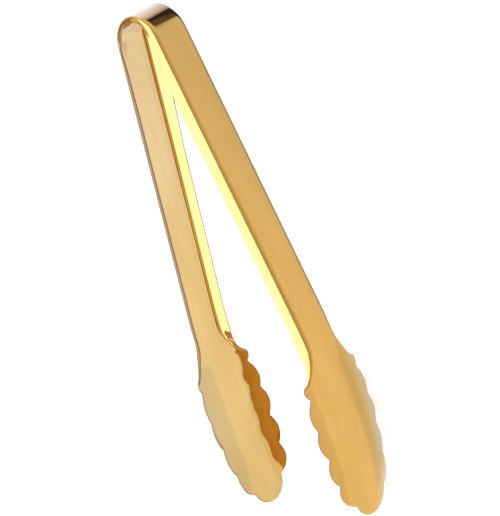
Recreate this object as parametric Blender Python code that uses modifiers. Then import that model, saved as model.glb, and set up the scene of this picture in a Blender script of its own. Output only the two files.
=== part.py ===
"""Ice tongs: one strip of gold-coated stainless steel, pressed into shape.

The strip is bent over into a U at the top, which is the spring. Each arm runs down from it as a
shallow channel and opens at the shoulder into a scalloped, spoon-shaped jaw. The tongs lie on
their side edges: +X is the way they open, +Y points from the jaws to the bow, +Z is across the
strip. The strip is divided only where it flexes, into spring_bow, left_arm and right_arm.

Places on the strip are given by "run", the distance along its outer face from the top of the bow,
and "across", the distance from its middle. Both are in millimetres.
"""
from math import asin, atan2, cos, hypot, pi, radians, sin, sqrt, tan

import bmesh
import bpy
from mathutils import Vector
from mathutils.geometry import intersect_point_line

MM = 0.001

# Overall form
LENGTH = 178.0            # top of the bow to the tips of the jaws
SHEET = 0.7               # thickness of the strip
BOW_RADIUS = 10.5         # outside of the U bend
SPLAY = radians(9.2)      # lean of each arm, tongs at rest
SEAM_RUN = 17.0           # where the flexing bow ends and the stiff arm begins
SEAM_GAP = 0.3            # parting line between them
PIVOT_X = 6.6             # centre of the flexing length, which the arm turns about
PIVOT_DROP = 4.3          # how far that centre lies below the top of the bow

# Section of the strip: half of the flat face, then a bend, then a straight flange
BOW_FLAT, BOW_BEND, BOW_FOLD, BOW_FLANGE = 5.2, 1.0, radians(82), 0.95
ARM_FLAT, ARM_BEND, ARM_FOLD, ARM_FLANGE = 4.5, 2.5, radians(60), 2.85
BEND_START, BEND_FULL = 2.0, 13.0          # where the bend grows softer
FOLD_START, FOLD_FULL = 11.0, 18.0         # where the flange leans out
FLANGE_START, FLANGE_FULL = 14.5, 25.0     # where the flange grows deeper
SWELL, SWELL_START, SWELL_TOP, SWELL_END = 0.5, 24.0, 38.0, 56.0   # and is deepest

# Jaw: the cut outline as (across, run past the cusp), and the dish pressed into it
SHOULDER = 120.3                           # where the edge starts to widen
CUSP = 132.5                               # where the shoulder meets the first lobe
CUSP_WIDTH = 12.4
NOTCHES = ((11.65, 4.4), (12.95, 14.9), (12.25, 25.4), (11.3, 35.7), (7.06, 45.4))
BULGES = (0.8, 1.5, 1.5, 1.6, 2.2)         # how far each lobe swells past its chord
SPINE = (1.5, 4.9, 15.1, 25.2, 34.7, 42.5, 45.5)   # where the ribs meet the middle
FLANGE_LEFT = 0.2                          # share of the flange that is left at the cusp
LEAN_START, LEAN_LENGTH, LEAN = 112.0, 12.0, 0.099   # the shoulder leans in from the arm
CURL_START, CURL, CURL_POWER = 125.0, 7.5, 2.95      # the jaw curls in towards its tip
DISH, TIP_DISH = 0.0175, 0.0225            # hollow across the jaw, per mm
DISH_START, DISH_FULL, TIP_DISH_START = 119.0, 133.5, 135.0

# Fineness of the mesh
BEND_STEPS = 3
RIB_STEPS = 3 + BEND_STEPS
SHOULDER_STEPS = 5
LOBE_STEPS = 5
SHOULDER_TURN = radians(84)

ARC_RUN = (pi / 2 - SPLAY) * BOW_RADIUS
ARM_TOP = Vector((BOW_RADIUS * cos(SPLAY), -BOW_RADIUS * (1 - sin(SPLAY)), 0.0))
ARM_DOWN = Vector((sin(SPLAY), -cos(SPLAY), 0.0))
ARM_OUT = Vector((cos(SPLAY), sin(SPLAY), 0.0))
ARM_EDGE = ARM_FLAT + ARM_BEND * sin(ARM_FOLD) + ARM_FLANGE * cos(ARM_FOLD)
LEAN_FROM = LEAN_START + LEAN_LENGTH / 2   # where the straight part of the lean would meet the arm
TIP = ((ARC_RUN + (LENGTH + ARM_TOP.y) / cos(SPLAY) + (LEAN * LEAN_FROM - CURL) * tan(SPLAY))
       / (1.0 + LEAN * tan(SPLAY)))


def smooth(start, end, value):
    """Ease from 0 to 1 between start and end."""
    part = min(1.0, max(0.0, (value - start) / (end - start)))
    return part * part * (3.0 - 2.0 * part)


def strip_at(run):
    """Middle of the outer face and its outward direction, measured from the top of the bow."""
    if run < ARC_RUN:
        turn = pi / 2 - run / BOW_RADIUS
        out = Vector((cos(turn), sin(turn), 0.0))
        return BOW_RADIUS * out - Vector((0.0, BOW_RADIUS, 0.0)), out
    return ARM_TOP + ARM_DOWN * (run - ARC_RUN), ARM_OUT


def sink(run):
    """How far the middle of the strip is bent in from the plane of the arm's outer face."""
    past = max(0.0, run - LEAN_START)
    bent = past ** 2 / (2 * LEAN_LENGTH) if past < LEAN_LENGTH else run - LEAN_FROM
    return LEAN * bent + CURL * max(0.0, (run - CURL_START) / (TIP - CURL_START)) ** CURL_POWER


def section(run):
    """Half section as (across, inward) points, from the middle of the face to the free edge."""
    soft = smooth(BEND_START, BEND_FULL, run)
    flat = BOW_FLAT + (ARM_FLAT - BOW_FLAT) * soft
    bend = BOW_BEND + (ARM_BEND - BOW_BEND) * soft
    fold = BOW_FOLD + (ARM_FOLD - BOW_FOLD) * smooth(FOLD_START, FOLD_FULL, run)
    flange = BOW_FLANGE + (ARM_FLANGE - BOW_FLANGE) * smooth(FLANGE_START, FLANGE_FULL, run)
    flange += SWELL * smooth(SWELL_START, SWELL_TOP, run) * (1.0 - smooth(SWELL_TOP, SWELL_END, run))
    points = [(0.0, 0.0), (flat / 2, 0.0), (flat, 0.0)]
    for step in range(1, BEND_STEPS + 1):
        turn = fold * step / BEND_STEPS
        points.append((flat + bend * sin(turn), bend * (1 - cos(turn))))
    edge, depth = points[-1]
    points.append((edge + flange * cos(fold), depth + flange * sin(fold)))
    return points


def shoulder_edge(steps):
    """Outline of the shoulder, a quarter of an ellipse that flares from the arm to the cusp."""
    points = []
    for step in range(steps + 1):
        turn = SHOULDER_TURN * step / steps
        flare = (1 - cos(turn)) / (1 - cos(SHOULDER_TURN))
        points.append((ARM_EDGE + (CUSP_WIDTH - ARM_EDGE) * flare,
                       SHOULDER + (CUSP - SHOULDER) * sin(turn) / sin(SHOULDER_TURN)))
    return points


def edge_distance(across, run):
    """Distance, over the face, to the free edge of the arm and shoulder."""
    point = Vector((across, run, 0.0))
    corners = [Vector((ARM_EDGE, SHOULDER - 10.0, 0.0))]
    corners += [Vector((*corner, 0.0)) for corner in shoulder_edge(3 * SHOULDER_STEPS)]
    nearest = ARM_EDGE
    for first, last in zip(corners, corners[1:]):
        foot, part = intersect_point_line(point, first, last)
        part = min(1.0, max(0.0, part))
        nearest = min(nearest, (first.lerp(last, part) - point).length)
    return nearest


def flange_depth(distance, share):
    """Depth of the flange at a distance from its free edge; share shrinks the whole flange."""
    distance /= share
    straight = ARM_FLANGE * cos(ARM_FOLD)
    reach = ARM_BEND * sin(ARM_FOLD) + straight
    if distance >= reach:
        return 0.0
    if distance >= straight:
        return share * (ARM_BEND - sqrt(ARM_BEND ** 2 - (reach - distance) ** 2))
    return share * (ARM_BEND * (1 - cos(ARM_FOLD)) + (straight - distance) * tan(ARM_FOLD))


def jaw_depth(across, run):
    """How far the shoulder and jaw are pressed in from the plane of the arm's outer face."""
    share = 1.0 - (1.0 - FLANGE_LEFT) * smooth(SHOULDER, CUSP, run)
    flange = flange_depth(edge_distance(across, run), share)
    hollow = DISH + (TIP_DISH - DISH) * smooth(TIP_DISH_START, TIP, run)
    return flange + hollow * across ** 2 * smooth(DISH_START, DISH_FULL, run) + sink(run)


def lobe(first, last, bulge, steps):
    """Points along an arc that swells outward from the chord between two notches."""
    chord = (last[0] - first[0], last[1] - first[1])
    length = hypot(*chord)
    along = (chord[0] / length, chord[1] / length)
    out = (along[1], -along[0])
    radius = (length * length / 4 + bulge * bulge) / (2 * bulge)
    half = asin(length / 2 / radius)
    middle = ((first[0] + last[0]) / 2, (first[1] + last[1]) / 2)
    points = []
    for step in range(1, steps + 1):
        turn = half * (2.0 * step / steps - 1.0)
        rise = bulge - radius + radius * cos(turn)
        points.append((middle[0] + out[0] * rise + along[0] * radius * sin(turn),
                       middle[1] + out[1] * rise + along[1] * radius * sin(turn)))
    return points


def tip_lobe(first, steps):
    """Points along the round end that both sides of the jaw share."""
    rise = TIP - first[1]
    radius = (first[0] ** 2 + rise ** 2) / (2 * rise)
    start = atan2(first[1] - TIP + radius, first[0])
    points = []
    for step in range(1, steps + 1):
        turn = start + (pi / 2 - start) * step / steps
        points.append((radius * cos(turn), TIP - radius + radius * sin(turn)))
    points[-1] = (0.0, TIP)
    return points


def jaw_ribs():
    """Ribs of the shoulder and jaw: (run at the middle, across at the edge, run at the edge)."""
    ribs = []
    edge = shoulder_edge(SHOULDER_STEPS)
    middle_start, middle_end = SHOULDER, CUSP + SPINE[0]
    for step, (across, run) in enumerate(edge):
        middle = middle_start + (middle_end - middle_start) * step / SHOULDER_STEPS
        ribs.append((middle, across, run))
    corners = [(CUSP_WIDTH, CUSP)] + [(across, CUSP + run) for across, run in NOTCHES]
    for number, first in enumerate(corners):
        if number < len(BULGES):
            steps = 3 if number == 0 else LOBE_STEPS
            points = lobe(first, corners[number + 1], BULGES[number], steps)
        else:
            points = tip_lobe(first, LOBE_STEPS)
        middle_start, middle_end = CUSP + SPINE[number], CUSP + SPINE[number + 1]
        for step, (across, run) in enumerate(points, 1):
            middle = middle_start + (middle_end - middle_start) * step / len(points)
            ribs.append((middle, across, run))
    return ribs


def strip_row(run):
    """A row of points over the bow or along an arm."""
    middle, out = strip_at(run)
    return [middle - out * (depth + sink(run)) + Vector((0.0, 0.0, across))
            for across, depth in section(run)]


def jaw_row(middle, edge, edge_run):
    """A row of points along one rib of the shoulder and jaw."""
    spread = smooth(SHOULDER, CUSP, edge_run)
    row = []
    for step, (across, _) in enumerate(section(SHOULDER)):
        kept = max(0.0, edge - (ARM_EDGE - across)) if step else 0.0
        across = kept + (edge * step / RIB_STEPS - kept) * spread
        run = middle + (edge_run - middle) * (across / edge if edge else step / RIB_STEPS)
        place, out = strip_at(run)
        row.append(place - out * jaw_depth(across, run) + Vector((0.0, 0.0, across)))
    return row


def sheet_object(name, rows, origin, side, material, both_arms=False):
    """A piece of the strip, from rows of points on half of its outer face."""
    mesh = bpy.data.meshes.new(name)
    work = bmesh.new()
    top = Vector((0.0, LENGTH / 2, 0.0))
    grid = []
    for row in rows:
        places = [point + top for point in row]
        places = [Vector((side * place.x, place.y, place.z)) - origin for place in places]
        grid.append([work.verts.new(place * MM) for place in places])
    for upper, lower in zip(grid, grid[1:]):
        for step in range(RIB_STEPS):
            corners = [upper[step], upper[step + 1], lower[step + 1], lower[step]]
            work.faces.new(corners if side > 0 else corners[::-1])
    work.to_mesh(mesh)
    work.free()
    mesh.materials.append(material)
    item = bpy.data.objects.new(name, mesh)
    item.location = (origin + Vector((0.0, 0.0, HALF_WIDTH))) * MM
    double = item.modifiers.new("both sides", 'MIRROR')
    double.use_axis = (both_arms, False, True)
    double.merge_threshold = 0.00001
    shell = item.modifiers.new("sheet thickness", 'SOLIDIFY')
    shell.thickness = SHEET * MM
    shell.offset = -1.0
    shell.use_even_offset = True
    collection.objects.link(item)
    return item


def gold(name, colour, roughness):
    material = bpy.data.materials.new(name)
    material.use_nodes = True
    shader = material.node_tree.nodes["Principled BSDF"]
    shader.inputs["Base Color"].default_value = (*colour, 1.0)
    shader.inputs["Metallic"].default_value = 1.0
    shader.inputs["Roughness"].default_value = roughness
    return material


for item in list(bpy.data.objects):
    bpy.data.objects.remove(item, do_unlink=True)

collection = bpy.data.collections.new("ice_tongs")
bpy.context.scene.collection.children.link(collection)

RIBS = jaw_ribs()
HALF_WIDTH = max(across for _, across, _ in RIBS)

bow_end = SEAM_RUN - SEAM_GAP / 2
bow_runs = [0.0, 1.6, 3.4, 5.2, 7.0, 8.8, 10.6, 12.2, 13.6, 15.0, bow_end]
sheet_object("spring_bow", [strip_row(run) for run in bow_runs],
             Vector((0.0, LENGTH / 2 - BOW_RADIUS, 0.0)), 1,
             gold("gold_coated_bow", (0.69, 0.42, 0.12), 0.16), both_arms=True)

arm_start = SEAM_RUN + SEAM_GAP / 2
arm_runs = [arm_start, 18.5, 20.5, 22.5, 25.0, 28.0, 32.0, 36.0, 40.0, 44.0, 48.0, 52.0, 56.0,
            80.0, LEAN_START, 116.0]
arm_rows = [strip_row(run) for run in arm_runs] + [jaw_row(*rib) for rib in RIBS]
for name, side, colour in (("left_arm", -1, (0.70, 0.43, 0.13)),
                           ("right_arm", 1, (0.68, 0.41, 0.11))):
    sheet_object(name, arm_rows, Vector((side * PIVOT_X, LENGTH / 2 - PIVOT_DROP, 0.0)), side,
                 gold("gold_coated_" + name, colour, 0.18))
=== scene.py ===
"""Ice tongs: one polished strip of gold-coated stainless steel, shown on a white studio floor.

The strip is modelled as two closed halves that meet at the top of the bow. In the real tongs
the bow flexes as one piece of spring steel when they are squeezed.

Places on the strip are given by "run", the distance along its outer face from the top of the bow,
and "across", the distance from its middle. All sizes and places are in millimetres, as in the
CAD; metres() turns them into Blender's units.
"""
from math import asin, atan2, cos, hypot, pi, radians, sin, tan

import bpy
import numpy as np
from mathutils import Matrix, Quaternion, Vector


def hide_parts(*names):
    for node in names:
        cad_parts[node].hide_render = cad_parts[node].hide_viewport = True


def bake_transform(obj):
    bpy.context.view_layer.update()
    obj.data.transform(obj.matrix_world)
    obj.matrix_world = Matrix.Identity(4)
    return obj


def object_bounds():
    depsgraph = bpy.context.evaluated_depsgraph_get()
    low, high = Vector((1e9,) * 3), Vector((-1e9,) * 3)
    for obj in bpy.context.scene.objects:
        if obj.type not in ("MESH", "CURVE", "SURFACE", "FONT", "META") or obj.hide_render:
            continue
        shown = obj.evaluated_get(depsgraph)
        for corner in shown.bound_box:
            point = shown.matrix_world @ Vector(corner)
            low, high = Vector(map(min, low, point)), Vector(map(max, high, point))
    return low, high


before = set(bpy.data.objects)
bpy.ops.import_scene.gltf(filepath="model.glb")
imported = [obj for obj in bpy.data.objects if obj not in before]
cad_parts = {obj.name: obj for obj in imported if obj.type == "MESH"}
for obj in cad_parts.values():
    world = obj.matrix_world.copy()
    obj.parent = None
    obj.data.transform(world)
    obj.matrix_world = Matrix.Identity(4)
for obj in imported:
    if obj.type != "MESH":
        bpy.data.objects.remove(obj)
cad_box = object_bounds()

MM = 0.001

# Overall form
LENGTH = 178.0
SHEET = 0.7
BOW_RADIUS = 10.5
SPLAY = radians(9.2)
HALF_WIDTH = (cad_box[1].z - cad_box[0].z) / 2 / MM

# Section of the strip: half of the flat face, then a bend, then a straight flange
BOW_FLAT, BOW_BEND, BOW_FOLD, BOW_FLANGE = 5.2, 1.0, radians(82), 0.95
ARM_FLAT, ARM_BEND, ARM_FOLD, ARM_FLANGE = 4.5, 2.5, radians(60), 2.85

# Runs over which the section of the bow turns into that of the arm
BEND_START, BEND_FULL = 2.0, 13.0
FOLD_START, FOLD_FULL = 11.0, 18.0
FLANGE_START, FLANGE_FULL = 14.5, 25.0
# The flanges are a little deeper about a quarter of the way down the arm
SWELL, SWELL_START, SWELL_TOP, SWELL_END = 0.5, 24.0, 38.0, 56.0

# Cut outline of the shoulder and jaw. Its corners are the cusp, the notches and the tip. Notches
# are (across, run past the cusp). A rib leads to each corner from the middle of the strip.
SHOULDER, SHOULDER_TURN = 120.3, radians(84)
CUSP, CUSP_WIDTH = 132.5, 12.4
NOTCHES = ((11.65, 4.4), (12.95, 14.9), (12.25, 25.4), (11.3, 35.7), (7.06, 45.4))
BULGES = (0.8, 1.5, 1.5, 1.6, 2.2)        # how far each lobe stands out between its two corners
SPINE = (1.5, 4.9, 15.1, 25.2, 34.7, 42.5, 45.5)      # where those ribs start, past the cusp

# What is pressed into the shoulder and jaw
FLANGE_LEFT = 0.2                         # share of the flange that is left at the cusp
LEAN_START, LEAN_LENGTH, LEAN = 112.0, 12.0, 0.099
CURL_START, CURL, CURL_POWER = 125.0, 7.5, 2.95
DISH_START, DISH_FULL = 119.0, 133.5
DISH, TIP_DISH, TIP_DISH_START = 0.0175, 0.0225, 135.0
RIPPLE, RIPPLE_SPACING = 0.05, 10.4       # the lobes are pressed in a little more than the notches
RIPPLE_START, RIPPLE_FULL = 4.0, 12.0
RIPPLE_FADE, RIPPLE_END = 10.5, 13.5

# Finish of the cut edges
EDGE_ROUND = 0.18                         # radius of both corners of the edge
NOTCH_ROUND = 0.35                        # softness of the notches between the lobes

# Fineness of the mesh
FLAT_STEPS, BEND_STEPS, FLANGE_STEPS = 6, 8, 4
COLUMNS = FLAT_STEPS + BEND_STEPS + FLANGE_STEPS
EDGE_STEPS = 3
BOW_ROWS = 82
NECK_GAP, NECK_SPACING, NECK_END = 0.6, 0.9, 58.0   # rows just below the bow
ARM_START, ARM_SPACING, ARM_END = 59.5, 2.5, 110.0  # rows along the rest of the arm
JAW_START = 111.0                                   # where rows give way to ribs of the jaw
RIB_SPACING = 0.45
OUTLINE_STEPS, OUTLINE_SPACING = 200, 0.05          # points that the ribs are picked from
SHOULDER_STEPS = 40                                 # pieces of the edge that distances are taken to

# Colours of the gold: in duller and brighter patches and on polishing lines, and painted
# shade that darkens a band along the edge and the cut face
GOLD_DULL, GOLD_BRIGHT = (0.630, 0.385, 0.110, 1), (0.690, 0.430, 0.132, 1)
GOLD_LINES, LINES_SHARE = (0.60, 0.36, 0.10, 1), 0.25
GOLD_EDGE_SHADE, GOLD_CUT_SHADE = (0.40, 0.27, 0.12, 1), (0.33, 0.235, 0.12, 1)
# Roughness of polished and smudged places, and what the edge band, the cut and the lines add to it
POLISHED, SMUDGED = 0.03, 0.06
SHADE_BAND_ROUGH, CUT_ROUGH, LINES_ROUGH = 0.12, 0.2, 0.02
# Distances from the edge between which the painted edge shade fades out, its strength and how ragged
# it is
SHADE_BAND_FULL, SHADE_BAND_END, SHADE_BAND, SHADE_BAND_RAGGED = 0.12, 0.42, 0.75, 0.5
# Where the cut face fades in, by distance from mid sheet; each face of the sheet is 0.5 away
CUT_FADE = (0.42, 0.15)
# Unevenness: repeats per millimetre (across, along and through the sheet), detail, roughness
PATCHES = (0.10, 0.022, 3.0), 3.0, 0.5
LINES = (9.0, 0.12, 5.0), 4.0, 0.6
HAIRS = (30.0, 0.35, 9.0), 2.0, 0.5
SMUDGES = (0.30, 0.11, 2.0), 5.0, 0.6
WAVES = (0.09, 0.035, 1.0), 1.0, 0.5
NOISE = (0.3, 0.7)                        # values between which nearly all of a noise lies
LINES_COLOURED, LINES_ROUGHENED = (0.35, 0.75), (0.4, 0.8)
LINES_HEIGHT, HAIRS_HEIGHT = 0.6, 0.4
FINE_STRENGTH, FINE_DEPTH = 0.35, 0.004
WAVE_STRENGTH, WAVE_DEPTH = 0.5, 0.02

# Light that the floor sends to the metal, by place. The camera always sees the floor white.
INSIDE_JAWS, INSIDE_TOP = (0.74, 0.92, 1.31, 1), (0.77, 1.05, 2.00, 1)
INSIDE_TIP = (0.62, 0.77, 1.00, 1)
RIGHT_JAWS, RIGHT_TOP = (0.67, 0.66, 0.57, 1), (0.455, 0.49, 0.545, 1)
BEHIND_LEFT, BEHIND_RIGHT = (0.66, 1.14, 2.7, 1), (0.37, 0.48, 1.55, 1)
BEYOND_LEFT = (0.04, 0.0, 0.0, 1)
# Where one of them turns into another: values of y, of x or of the distance outside the right arm
INSIDE_TOP_Y, INSIDE_TIP_Y, RIGHT_TOP_Y = (-20.0, 30.0), (-64.0, -82.0), (-50.0, 80.0)
RIGHT_OUTSIDE, BEYOND_X = (-3.0, 4.0), (-35.0, -70.0)
BEHIND_Y, BEHIND_X, BEHIND_RIGHT_X = (83.0, 91.0), (14.0, 8.0), (-13.0, 5.0)
# Line on the floor below the right arm: its x where y is 0, what each step in y adds, its limit
ARM_X, ARM_SLOPE, ARM_X_LIMIT = 23.1, -0.162, 28.0
# Painted shade behind the bow: a place on its slanting edge, the slope, and how soft that edge is;
# then where its left and far sides fade out, and the light that is left in it
PATCH_X, PATCH_Y, PATCH_SLOPE = 16.2, 93.0, -1.33
PATCH_SOFT_X, PATCH_SOFTER, PATCH_SHARPEST, PATCH_EDGE = 14.4, 0.75, 1.35, (-1.7, 1.7)
PATCH_LEFT_X, PATCH_FAR_Y, PATCH_LIGHT = (4.0, 8.4), (135.0, 120.0), 0.10
# Faint shade along the right arm: its inner and outer sides, its end, its depth
BESIDE_IN, BESIDE_OUT, BESIDE_Y, BESIDE = (-6.0, -1.0), (6.5, 1.5), (-35.0, -15.0), 0.5
# The floor itself: its size, what the camera sees, what the metal sees, and its grain
FLOOR, FLOOR_ROUGH = 2000.0, 0.8
SEEN_GLOW, SEEN_PAINT = (0.61, 0.61, 0.61, 1), (0.55, 0.55, 0.52, 1)
METAL_PAINT, GRAIN_SHADE = 0.22, 0.005
GRAIN_SCALE, GRAIN_DETAIL = 400.0, 2.0

# Walls, and a ceiling that begins where a direction rises past the top of the walls. Its slope
# lowers it towards +X.
WALLS, CEILING = (1.12, 1.05, 0.97, 1), (0.60, 0.54, 0.34, 1)
CEILING_SLOPE, WALL_TOP, CEILING_FADE = 0.3, 0.2, 0.95

# Lights, where the key light's way is the direction it shines in, and the brown card, a painted
# reflection
SOFTBOX_PLACE, SOFTBOX_SIZE = (-250.0, -350.0, 1350.0), (1500.0, 3600.0)
SOFTBOX_COLOUR, SOFTBOX_POWER = (0.93, 0.93, 1.40), 38.0
KEY_WAY, KEY_SPREAD = (0.36, 0.0, -0.93), radians(3.0)
KEY_COLOUR, KEY_POWER = (1.0, 0.86, 0.70), 2.3
CARD_X, CARD_Y, CARD_Z = -85.0, (60.0, 190.0), (55.0, 97.0)
CARD_BROWN = (0.44, 0.35, 0.28, 1)

# Camera
LENS, NEAREST, FARTHEST = 141.9, 10.0, 20000.0
CAMERA_PLACE, CAMERA_AIM = (474.4, 202.5, 413.7), (7.82, 3.54, 14.11)
CAMERA_ROLL = radians(-124.77)

# Worked out from the sizes above
ARC_RUN = (pi / 2 - SPLAY) * BOW_RADIUS
ARM_TOP = np.array((BOW_RADIUS * cos(SPLAY), -BOW_RADIUS * (1 - sin(SPLAY))))
ARM_DOWN = np.array((sin(SPLAY), -cos(SPLAY)))
ARM_EDGE = ARM_FLAT + ARM_BEND * sin(ARM_FOLD) + ARM_FLANGE * cos(ARM_FOLD)
LEAN_FROM = LEAN_START + LEAN_LENGTH / 2
TIP = ((ARC_RUN + (LENGTH + ARM_TOP[1]) / cos(SPLAY) + (LEAN * LEAN_FROM - CURL) * tan(SPLAY))
       / (1.0 + LEAN * tan(SPLAY)))


def metres(place):
    """A place or size in Blender's units."""
    return tuple(value * MM for value in place)


def smooth(start, end, value):
    """Ease from 0 to 1 between start and end."""
    part = np.clip((value - start) / (end - start), 0.0, 1.0)
    return part * part * (3.0 - 2.0 * part)


def strip_at(run):
    """Middle of the outer face and its outward direction, measured from the top of the bow."""
    turn = pi / 2 - np.minimum(run, ARC_RUN) / BOW_RADIUS
    out = np.stack([np.cos(turn), np.sin(turn)], axis=-1)
    past = np.maximum(run - ARC_RUN, 0.0)[..., None]
    return BOW_RADIUS * out - np.array((0.0, BOW_RADIUS)) + past * ARM_DOWN, out


def section(run):
    """Half sections as (across, inward) arrays, one row for each run."""
    soft = smooth(BEND_START, BEND_FULL, run)[:, None]
    flat = BOW_FLAT + (ARM_FLAT - BOW_FLAT) * soft
    bend = BOW_BEND + (ARM_BEND - BOW_BEND) * soft
    fold = BOW_FOLD + (ARM_FOLD - BOW_FOLD) * smooth(FOLD_START, FOLD_FULL, run)[:, None]
    flange = smooth(FLANGE_START, FLANGE_FULL, run)[:, None]
    flange = BOW_FLANGE + (ARM_FLANGE - BOW_FLANGE) * flange
    swell = smooth(SWELL_START, SWELL_TOP, run) * (1.0 - smooth(SWELL_TOP, SWELL_END, run))
    flange = flange + SWELL * swell[:, None]
    flat_part = np.arange(FLAT_STEPS + 1) / FLAT_STEPS
    turn = fold * np.arange(1, BEND_STEPS + 1) / BEND_STEPS
    reach = flange * np.arange(1, FLANGE_STEPS + 1) / FLANGE_STEPS
    across = [flat * flat_part, flat + bend * np.sin(turn),
              flat + bend * np.sin(fold) + reach * np.cos(fold)]
    depth = [0.0 * flat * flat_part, bend * (1 - np.cos(turn)),
             bend * (1 - np.cos(fold)) + reach * np.sin(fold)]
    return np.concatenate(across, axis=1), np.concatenate(depth, axis=1)


def shoulder_edge(steps):
    """Outline of the shoulder, a quarter of an ellipse that flares from the arm to the cusp."""
    turn = np.linspace(0.0, SHOULDER_TURN, steps + 1)
    flare = (1 - np.cos(turn)) / (1 - cos(SHOULDER_TURN))
    rise = np.sin(turn) / sin(SHOULDER_TURN)
    return np.stack([ARM_EDGE + (CUSP_WIDTH - ARM_EDGE) * flare,
                     SHOULDER + (CUSP - SHOULDER) * rise], axis=1)


def edge_distance(across, run):
    """Distance, over the face, to the free edge of the arm and shoulder."""
    corners = np.concatenate([[(ARM_EDGE, JAW_START)], shoulder_edge(SHOULDER_STEPS)])
    point = np.stack([across, run], axis=-1)
    nearest = np.full(np.shape(across), ARM_EDGE)
    for first, last in zip(corners, corners[1:]):
        way = last - first
        part = np.clip(((point - first) @ way) / (way @ way), 0.0, 1.0)
        foot = first + part[..., None] * way
        nearest = np.minimum(nearest, np.linalg.norm(point - foot, axis=-1))
    return nearest


def flange_depth(distance, share):
    """Depth of the flange at a distance from its free edge; share shrinks the whole flange."""
    distance = distance / share
    straight = ARM_FLANGE * cos(ARM_FOLD)
    reach = ARM_BEND * sin(ARM_FOLD) + straight
    round_part = ARM_BEND - np.sqrt(np.maximum(ARM_BEND ** 2 - (reach - distance) ** 2, 0.0))
    flat_part = ARM_BEND * (1 - cos(ARM_FOLD)) + (straight - distance) * tan(ARM_FOLD)
    depth = np.where(distance >= straight, round_part, flat_part)
    return share * np.where(distance >= reach, 0.0, depth)


def jaw_depth(across, run):
    """How far the shoulder and jaw are pressed in from the plane of the arm's outer face."""
    share = 1.0 - (1.0 - FLANGE_LEFT) * smooth(SHOULDER, CUSP, run)
    flange = flange_depth(edge_distance(across, run), share)
    hollow = DISH + (TIP_DISH - DISH) * smooth(TIP_DISH_START, TIP, run)
    dish = hollow * across ** 2 * smooth(DISH_START, DISH_FULL, run)
    past = np.maximum(run - LEAN_START, 0.0)
    lean = LEAN * np.where(past < LEAN_LENGTH, past ** 2 / (2 * LEAN_LENGTH), run - LEAN_FROM)
    part = np.maximum(0.0, (run - CURL_START) / (TIP - CURL_START))
    turn = 2 * pi * (run - CUSP - NOTCHES[0][1]) / RIPPLE_SPACING
    ripple = RIPPLE * smooth(RIPPLE_START, RIPPLE_FULL, across) * np.cos(turn)
    ripple *= 1.0 - smooth(RIPPLE_FADE, RIPPLE_END, across)
    ripple *= smooth(DISH_START, DISH_FULL, run)
    return flange + dish + lean + CURL * part ** CURL_POWER - ripple


def lobe(first, last, bulge, steps):
    """Points along an arc that swells outward from the chord between two notches."""
    chord = np.subtract(last, first)
    length = hypot(*chord)
    along = chord / length
    out = np.array((along[1], -along[0]))
    radius = (length ** 2 / 4 + bulge ** 2) / (2 * bulge)
    turn = asin(length / 2 / radius) * np.linspace(-1.0, 1.0, steps + 1)[:, None]
    middle = np.add(first, last) / 2
    rise = bulge - radius + radius * np.cos(turn)
    return middle + out * rise + along * radius * np.sin(turn)


def tip_lobe(first, steps):
    """Points along the round end that both sides of the jaw share."""
    rise = TIP - first[1]
    radius = (first[0] ** 2 + rise ** 2) / (2 * rise)
    turn = np.linspace(atan2(first[1] - TIP + radius, first[0]), pi / 2, steps + 1)
    return np.stack([radius * np.cos(turn), TIP - radius + radius * np.sin(turn)], axis=1)


def jaw_ribs():
    """Ribs of the shoulder and jaw, as arrays of (run at the middle, across and run at the edge)."""
    steps = OUTLINE_STEPS
    run = np.linspace(JAW_START, SHOULDER, steps)[:-1]
    parts = [np.stack([run, np.full_like(run, ARM_EDGE), run], axis=1)]
    corners = [(CUSP_WIDTH, CUSP)] + [(across, CUSP + run) for across, run in NOTCHES]
    stretches = [(shoulder_edge(steps), SHOULDER, CUSP + SPINE[0])]
    for number, first in enumerate(corners):
        if number < len(BULGES):
            points = lobe(first, corners[number + 1], BULGES[number], steps)
        else:
            points = tip_lobe(first, steps)
        stretches.append((points, CUSP + SPINE[number], CUSP + SPINE[number + 1]))
    for points, start, end in stretches:
        middle = np.linspace(start, end, steps + 1)
        parts.append(np.column_stack([middle, points])[:-1])
    ribs = np.concatenate(parts + [[(CUSP + SPINE[-1], 0.0, TIP)]])
    # Even spacing along the edge, then a weighted moving average that rounds the notches
    way = np.concatenate([[0.0], np.cumsum(np.hypot(*np.diff(ribs[:, 1:], axis=0).T))])
    even = np.arange(0.0, way[-1], OUTLINE_SPACING)
    ribs = np.stack([np.interp(even, way, ribs[:, part]) for part in range(3)], axis=1)
    reach = int(3 * NOTCH_ROUND / OUTLINE_SPACING)
    weight = np.exp(-0.5 * (np.arange(-reach, reach + 1) * OUTLINE_SPACING / NOTCH_ROUND) ** 2)
    weight /= weight.sum()
    before = ribs[0] - (ribs[1] - ribs[0]) * np.arange(reach, 0, -1)[:, None]
    after = ribs[-2:-2 - reach:-1] * (1.0, -1.0, 1.0)
    padded = np.concatenate([before, ribs, after])
    soft = np.stack([np.convolve(padded[:, part], weight, 'valid') for part in (1, 2)], axis=1)
    ribs[:, 1:] = soft
    ribs[-1, 1] = 0.0
    step = max(1, round(RIB_SPACING / OUTLINE_SPACING))
    picked = list(range(0, len(ribs) - step // 2 - 1, step)) + [len(ribs) - 1]
    return ribs[picked]


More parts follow.
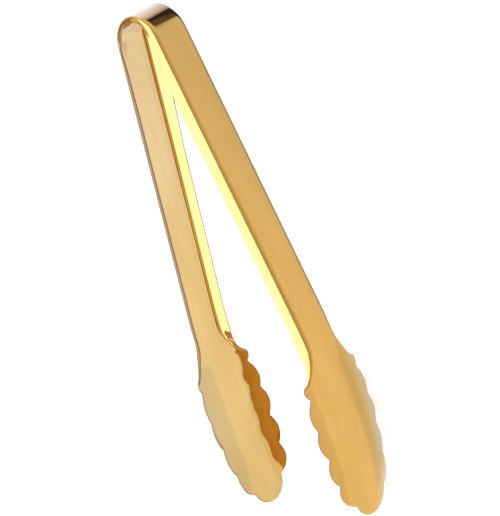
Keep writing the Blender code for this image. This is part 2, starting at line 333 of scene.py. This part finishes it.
def outer_face():
    """Grid of points on half of the outer face, from the top of the bow to the tip."""
    bow = np.linspace(0.0, ARC_RUN, BOW_ROWS)
    neck = np.arange(ARC_RUN + NECK_GAP, NECK_END, NECK_SPACING)
    arm = np.arange(ARM_START, ARM_END, ARM_SPACING)
    run = np.concatenate([bow, neck, arm])
    across, depth = section(run)

    # The columns keep their distances from the edge along the arm, and spread out over the jaw
    ribs = jaw_ribs()
    spread = smooth(SHOULDER, CUSP, ribs[:, 2:])
    kept, _ = section(np.full(len(ribs), SHOULDER))
    share = np.arange(COLUMNS + 1) / COLUMNS
    edge = ribs[:, 1:2]
    kept = np.maximum(0.0, edge - (ARM_EDGE - kept)) * (share > 0)
    jaw_across = kept + (edge * share - kept) * spread
    part = np.divide(jaw_across, edge, out=np.tile(share, (len(ribs), 1)), where=edge > 0)
    jaw_run = ribs[:, :1] + (ribs[:, 2:] - ribs[:, :1]) * part
    across = np.concatenate([across, jaw_across])
    depth = np.concatenate([depth, jaw_depth(jaw_across, jaw_run)])
    run = np.concatenate([np.repeat(run[:, None], COLUMNS + 1, axis=1), jaw_run])
    middle, out = strip_at(run)
    flat = middle - out * depth[..., None]
    return np.concatenate([flat, across[..., None]], axis=-1), run


def unit(vectors):
    """The same directions at length 1."""
    return vectors / np.maximum(np.linalg.norm(vectors, axis=-1, keepdims=True), 1e-12)


def face_normals(points):
    """Outward normals of the grid, which goes on in mirror image past the top, tip and middle."""
    padded = np.concatenate([points[1:2] * (-1, 1, 1), points, points[-2:-1] * (1, 1, -1)])
    padded = np.concatenate([padded[:, 1:2] * (1, 1, -1), padded], axis=1)
    down = np.gradient(padded, axis=0)[1:-1, 1:]
    sideways = np.gradient(padded, axis=1)[1:-1, 1:]
    normals = np.cross(sideways, down)
    # The last row lies along the middle, so its first point has nothing beside it
    normals[-1, 0] = normals[-1, 1]
    return unit(normals), unit(down[:, -1])


def half_surface():
    """Closed half section for every row: outer face, rounded edge and inner face, from the
    middle out and back again. Returns points, normals, strip places and edge distances."""
    points, run = outer_face()
    normals, along = face_normals(points)
    aside = unit(np.cross(along, normals[:, -1]))
    aside *= np.sign(np.sum(aside * (points[:, -1] - points[:, -2]), axis=1, keepdims=True))
    points[:, -1] -= aside * EDGE_ROUND
    rim_out = normals[:, -1]
    rim_points, rim_normals = [], []
    for layer, centre in ((1, EDGE_ROUND), (-1, SHEET - EDGE_ROUND)):
        for step in range(1, EDGE_STEPS + 1)[::layer]:
            turn = pi / 2 * step / EDGE_STEPS
            direction = rim_out * (cos(turn) * layer) + aside * sin(turn)
            rim_points.append(points[:, -1] - rim_out * centre + direction * EDGE_ROUND)
            rim_normals.append(direction)
    rim_points, rim_normals = np.stack(rim_points, axis=1), np.stack(rim_normals, axis=1)
    inner = points - normals * SHEET

    def round_section(outer_values, rim_values, inner_values):
        return np.concatenate([outer_values, rim_values, inner_values[:, ::-1]], axis=1)

    spacing = np.linalg.norm(np.diff(points, axis=1), axis=2)
    across = np.concatenate([np.zeros((len(points), 1)), np.cumsum(spacing, axis=1)], axis=1)
    from_edge = across[:, -1:] - across + EDGE_ROUND
    rim = np.ones((len(points), 2 * EDGE_STEPS))
    layer = round_section(0.0 * across, 0.5 * rim, 1.0 + 0.0 * across)
    strip = np.stack([round_section(across, across[:, -1:] * rim, across),
                      round_section(run, run[:, -1:] * rim, run), layer], axis=-1)
    return (round_section(points, rim_points, inner),
            round_section(normals, rim_normals, -normals), strip,
            round_section(from_edge, 0.0 * rim, from_edge))


def half_faces(grids, side):
    """Faces over both sides of the strip, then the flat caps where the two halves meet.

    Each grid numbers the points of one side, by row and place round the section. Returns the
    faces as lists of point numbers, and how many of them come before the caps.
    """
    faces, caps = [], []
    for grid, sign in zip(grids, (1, -1)):
        rows, size = grid.shape
        turn = 1 if sign * side > 0 else -1
        for row in range(rows - 1):
            for step in range(size - 1):
                faces.append([grid[row, step], grid[row, step + 1],
                              grid[row + 1, step + 1], grid[row + 1, step]][::turn])
        top = grid[0]
        for step in range(COLUMNS):
            caps.append([top[step], top[size - 1 - step],
                         top[size - 2 - step], top[step + 1]][::turn])
        caps.append(list(top[size - COLUMNS - 1:COLUMNS - 1:-1])[::turn])
    return faces + caps, len(faces)


def add_object(name, data):
    """An object with this data, in the scene."""
    item = bpy.data.objects.new(name, data)
    bpy.context.scene.collection.objects.link(item)
    return item


def half_object(name, side, material):
    """One half of the tongs: half of the bow, an arm and its jaw."""
    ring, normals, strip, edge = half_surface()
    both = (1, -1)
    points = np.concatenate([(ring * (side, 1, sign)).reshape(-1, 3) for sign in both])
    points = (points + (0.0, LENGTH / 2, HALF_WIDTH)) * MM
    point_normals = np.concatenate([(normals * (side, 1, sign)).reshape(-1, 3) for sign in both])
    places = np.concatenate([(strip * (sign, side, 1)).reshape(-1, 3) for sign in both])
    edges = np.tile(edge.reshape(-1), 2)

    # The middle columns, and the whole last row, are shared by the two sides of the strip
    grid = np.arange(edge.size).reshape(edge.shape)
    shared = np.arange(2 * edge.size)
    for seam in (grid[:, 0], grid[:, -1], grid[-1]):
        shared[edge.size + seam] = seam
    used, place_of = np.unique(shared, return_inverse=True)

    faces, before_caps = half_faces((grid, grid + edge.size), side)
    mesh_faces, mesh_normals = [], []
    for number, face in enumerate(faces):
        corners = [int(place_of[corner]) for corner in face]
        keep = [step for step in range(len(face)) if corners[step] != corners[step - 1]]
        if len(keep) < 3:
            continue
        mesh_faces.append([corners[step] for step in keep])
        if number < before_caps:
            mesh_normals += [point_normals[face[step]] for step in keep]
        else:
            mesh_normals += [(-side, 0.0, 0.0)] * len(keep)

    mesh = bpy.data.meshes.new(name)
    mesh.from_pydata(points[used].tolist(), [], mesh_faces)
    mesh.polygons.foreach_set("use_smooth", [True] * len(mesh_faces))
    strip_data = mesh.attributes.new("strip", 'FLOAT_VECTOR', 'POINT')
    strip_data.data.foreach_set("vector", places[used].astype(np.float32).ravel())
    edge_data = mesh.attributes.new("edge_distance", 'FLOAT', 'POINT')
    edge_data.data.foreach_set("value", edges[used].astype(np.float32))
    mesh.normals_split_custom_set(mesh_normals)
    mesh.materials.append(material)
    return add_object(name, mesh)


class Nodes:
    """Short way to write a node tree. Values are numbers, colours or the outputs of nodes."""

    def __init__(self, tree):
        self.tree = tree

    def add(self, kind, settings=None, **inputs):
        node = self.tree.nodes.new(kind)
        for name, value in (settings or {}).items():
            setattr(node, name, value)
        for name, value in inputs.items():
            self.feed(node.inputs[name.replace("_", " ")], value)
        return node

    def feed(self, socket, value):
        if isinstance(value, bpy.types.NodeSocket):
            self.tree.links.new(value, socket)
        else:
            socket.default_value = value

    def math(self, operation, *values, clamp=False):
        node = self.tree.nodes.new("ShaderNodeMath")
        node.operation = operation
        node.use_clamp = clamp
        for number, value in enumerate(values):
            self.feed(node.inputs[number], value)
        return node.outputs[0]

    def mix(self, share, first, second, kind='RGBA'):
        node = self.tree.nodes.new("ShaderNodeMix")
        node.data_type = kind
        number = {'FLOAT': 2, 'RGBA': 6}[kind]
        self.feed(node.inputs[0], share)
        self.feed(node.inputs[number], first)
        self.feed(node.inputs[number + 1], second)
        return node.outputs[{'FLOAT': 0, 'RGBA': 2}[kind]]

    def span(self, value, low, high, to_low=0.0, to_high=1.0):
        node = self.tree.nodes.new("ShaderNodeMapRange")
        node.interpolation_type = 'SMOOTHSTEP'
        for number, given in enumerate((value, low, high, to_low, to_high)):
            self.feed(node.inputs[number], given)
        return node.outputs[0]

    def noise(self, place, scale, detail, roughness=0.5):
        return self.add("ShaderNodeTexNoise", Vector=place, Scale=scale, Detail=detail,
                        Roughness=roughness).outputs[0]

    def stretched(self, place, stretch):
        return self.add("ShaderNodeMapping", Vector=place, Scale=stretch).outputs[0]


def new_material(name):
    """A material without nodes, and the means to add them."""
    material = bpy.data.materials.new(name)
    material.use_nodes = True
    material.node_tree.nodes.clear()
    return material, Nodes(material.node_tree)


def gold_material(name):
    """Polished gold coating: patchy, brushed along the strip, with painted shade along its edges and
    on its cut face, which are also rougher.
    """
    material, n = new_material(name)
    strip = n.add("ShaderNodeAttribute", {"attribute_name": "strip"}).outputs["Vector"]
    edge = n.add("ShaderNodeAttribute", {"attribute_name": "edge_distance"}).outputs["Fac"]
    layer = n.add("ShaderNodeSeparateXYZ", Vector=strip).outputs[2]

    def unevenness(stretch, detail, roughness):
        return n.noise(n.stretched(strip, stretch), 1.0, detail, roughness)

    patches, lines, hairs = unevenness(*PATCHES), unevenness(*LINES), unevenness(*HAIRS)
    smudges, waves = unevenness(*SMUDGES), unevenness(*WAVES)

    # Painted shade along the edge, a ragged and rougher band that is strongest at the edge, and 1 on
    # the cut face between its two rounded corners
    ragged = n.math('MULTIPLY', n.math('SUBTRACT', smudges, 0.5), SHADE_BAND_RAGGED)
    edge_shade_band = n.span(n.math('ADD', edge, ragged), SHADE_BAND_FULL, SHADE_BAND_END, SHADE_BAND, 0.0)
    cut = n.span(n.math('ABSOLUTE', n.math('SUBTRACT', layer, 0.5)), *CUT_FADE)

    colour = n.mix(n.span(patches, *NOISE), GOLD_DULL, GOLD_BRIGHT)
    colour = n.mix(n.span(lines, *LINES_COLOURED, 0.0, LINES_SHARE), colour, GOLD_LINES)
    # Painted shade: darker colour on the band along the edge and on the cut face
    colour = n.mix(edge_shade_band, colour, GOLD_EDGE_SHADE)
    colour = n.mix(cut, colour, GOLD_CUT_SHADE)

    rough = n.span(smudges, *NOISE, POLISHED, SMUDGED)
    rough = n.math('ADD', rough, n.math('MULTIPLY', edge_shade_band, SHADE_BAND_ROUGH))
    rough = n.math('ADD', rough, n.math('MULTIPLY', cut, CUT_ROUGH))
    rough = n.math('ADD', rough, n.span(lines, *LINES_ROUGHENED, 0.0, LINES_ROUGH))

    height = n.math('ADD', n.math('MULTIPLY', lines, LINES_HEIGHT),
                    n.math('MULTIPLY', hairs, HAIRS_HEIGHT))
    fine = n.add("ShaderNodeBump", Strength=FINE_STRENGTH, Distance=FINE_DEPTH * MM,
                 Height=height)
    wide = n.add("ShaderNodeBump", Strength=WAVE_STRENGTH, Distance=WAVE_DEPTH * MM,
                 Height=waves, Normal=fine.outputs[0])
    shader = n.add("ShaderNodeBsdfPrincipled", Base_Color=colour, Metallic=1.0, Roughness=rough,
                   Normal=wide.outputs[0])
    n.add("ShaderNodeOutputMaterial", Surface=shader.outputs[0])
    return material


def floor_material():
    """White floor, with the soft patches of light and shade that the metal picks up."""
    material, n = new_material("pale_floor")
    seen = n.add("ShaderNodeLightPath").outputs["Is Camera Ray"]
    place = n.add("ShaderNodeNewGeometry").outputs["Position"]
    x, y, _ = n.add("ShaderNodeSeparateXYZ", Vector=n.stretched(place, (1 / MM,) * 3)).outputs

    # The line below the right arm, and how far a place lies outside it
    arm = n.math('MINIMUM', n.math('MULTIPLY_ADD', y, ARM_SLOPE, ARM_X), ARM_X_LIMIT)
    outside = n.math('SUBTRACT', x, arm)
    inner = n.mix(n.span(y, *INSIDE_TOP_Y), INSIDE_JAWS, INSIDE_TOP)
    inner = n.mix(n.span(y, *INSIDE_TIP_Y), inner, INSIDE_TIP)
    outer = n.mix(n.span(y, *RIGHT_TOP_Y), RIGHT_JAWS, RIGHT_TOP)
    light = n.mix(n.span(outside, *RIGHT_OUTSIDE), inner, outer)
    light = n.mix(n.span(x, *BEYOND_X), light, BEYOND_LEFT)
    behind = n.mix(n.span(x, *BEHIND_RIGHT_X), BEHIND_LEFT, BEHIND_RIGHT)
    is_behind = n.math('MULTIPLY', n.span(y, *BEHIND_Y), n.span(x, *BEHIND_X))
    light = n.mix(is_behind, light, behind)

    # Painted shade: a dark patch behind the bow, softer towards the right, and a faint one along the
    # right arm
    slant = n.math('ADD', n.math('SUBTRACT', y, PATCH_Y),
                   n.math('MULTIPLY', n.math('SUBTRACT', x, PATCH_X), PATCH_SLOPE))
    softness = n.math('MULTIPLY', n.math('SUBTRACT', x, PATCH_SOFT_X), PATCH_SOFTER)
    softness = n.math('MAXIMUM', softness, PATCH_SHARPEST)
    patch = n.span(n.math('DIVIDE', slant, softness), *PATCH_EDGE)
    patch = n.math('MULTIPLY', patch, n.span(x, *PATCH_LEFT_X))
    patch = n.math('MULTIPLY', patch, n.span(y, *PATCH_FAR_Y))
    beside = n.math('MULTIPLY', n.span(outside, *BESIDE_IN), n.span(outside, *BESIDE_OUT))
    beside = n.math('MULTIPLY', beside, n.span(y, *BESIDE_Y))
    shade = n.math('SUBTRACT', n.span(patch, 0.0, 1.0, 1.0, PATCH_LIGHT),
                   n.math('MULTIPLY', beside, BESIDE), clamp=True)

    grain = n.noise(place, GRAIN_SCALE, GRAIN_DETAIL)
    grain = n.span(grain, *NOISE, METAL_PAINT - GRAIN_SHADE, METAL_PAINT)
    shader = n.add("ShaderNodeBsdfPrincipled", Roughness=FLOOR_ROUGH,
                   Base_Color=n.mix(seen, n.math('MULTIPLY', shade, grain), SEEN_PAINT),
                   Emission_Color=n.mix(seen, light, SEEN_GLOW),
                   Emission_Strength=n.mix(seen, shade, 1.0, 'FLOAT'))
    n.add("ShaderNodeOutputMaterial", Surface=shader.outputs[0])
    return material


def glow_material(name, colour):
    """A surface that only gives light of this colour."""
    material, n = new_material(name)
    light = n.add("ShaderNodeEmission", Color=colour, Strength=1.0)
    n.add("ShaderNodeOutputMaterial", Surface=light.outputs[0])
    return material


def flat_surface(name, corners, material):
    """A four-sided surface that belongs to the studio."""
    mesh = bpy.data.meshes.new(name)
    mesh.from_pydata([metres(corner) for corner in corners], [], [(0, 1, 2, 3)])
    mesh.materials.append(material)
    item = add_object(name, mesh)
    return item


def painted_reflection_card():
    """A glowing brown card beside the bow that is only seen in the metal: a painted reflection."""
    (near, far), (low, high) = CARD_Y, CARD_Z
    corners = [(CARD_X, near, low), (CARD_X, far, low), (CARD_X, far, high), (CARD_X, near, high)]
    card = flat_surface("painted_reflection_card", corners, glow_material("brown", CARD_BROWN))
    card.visible_camera = card.visible_diffuse = card.visible_shadow = False
    card.visible_transmission = False


def white_studio():
    """White walls, and a dim ceiling above them."""
    world = bpy.data.worlds.new("studio")
    world.use_nodes = True
    n = Nodes(world.node_tree)
    direction = n.add("ShaderNodeTexCoord").outputs["Generated"]
    x, _, z = n.add("ShaderNodeSeparateXYZ", Vector=direction).outputs
    rise = n.math('SUBTRACT', n.math('ADD', z, n.math('MULTIPLY', x, CEILING_SLOPE)), WALL_TOP)
    rise = n.math('DIVIDE', rise, CEILING_FADE, clamp=True)
    n.feed(world.node_tree.nodes["Background"].inputs[0], n.mix(rise, WALLS, CEILING))
    bpy.context.scene.world = world


def overhead_softbox():
    """Large soft light above the tongs."""
    data = bpy.data.lights.new("overhead_softbox", 'AREA')
    data.shape = 'RECTANGLE'
    data.size, data.size_y = metres(SOFTBOX_SIZE)
    data.energy, data.color = SOFTBOX_POWER, SOFTBOX_COLOUR
    light = add_object("overhead_softbox", data)
    light.location = metres(SOFTBOX_PLACE)
    light.visible_camera = False


def key_light():
    """Warm light from one side, which the metal doesn't mirror."""
    data = bpy.data.lights.new("key", 'SUN')
    data.energy, data.color, data.angle = KEY_POWER, KEY_COLOUR, KEY_SPREAD
    light = add_object("key", data)
    light.rotation_mode = 'QUATERNION'
    light.rotation_quaternion = Vector(KEY_WAY).to_track_quat('-Z', 'Y')
    light.visible_glossy = False


def camera():
    """Camera that sees the tongs as the photo does."""
    data = bpy.data.cameras.new("camera")
    data.lens = LENS
    data.clip_start, data.clip_end = metres((NEAREST, FARTHEST))
    item = add_object("camera", data)
    item.location = metres(CAMERA_PLACE)
    look = Vector(metres(CAMERA_AIM)) - item.location
    roll = Quaternion((0.0, 0.0, 1.0), CAMERA_ROLL)
    item.rotation_mode = 'QUATERNION'
    item.rotation_quaternion = look.to_track_quat('-Z', 'Y') @ roll
    bpy.context.scene.camera = item


# ---------------------------------------------------------------- the tongs
for name, side in (("left", -1), ("right", 1)):
    half = half_object(name + "_half", side, gold_material("gold_coated_" + name + "_half"))
    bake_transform(half)
    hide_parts("spring_bow", name + "_arm")

# ---------------------------------------------------------------- the studio
end = FLOOR / 2
flat_surface("floor", [(-end, -end, 0.0), (end, -end, 0.0), (end, end, 0.0), (-end, end, 0.0)],
             floor_material())
white_studio()
overhead_softbox()
key_light()
painted_reflection_card()
camera()
bpy.context.scene.view_settings.view_transform = 'Standard'
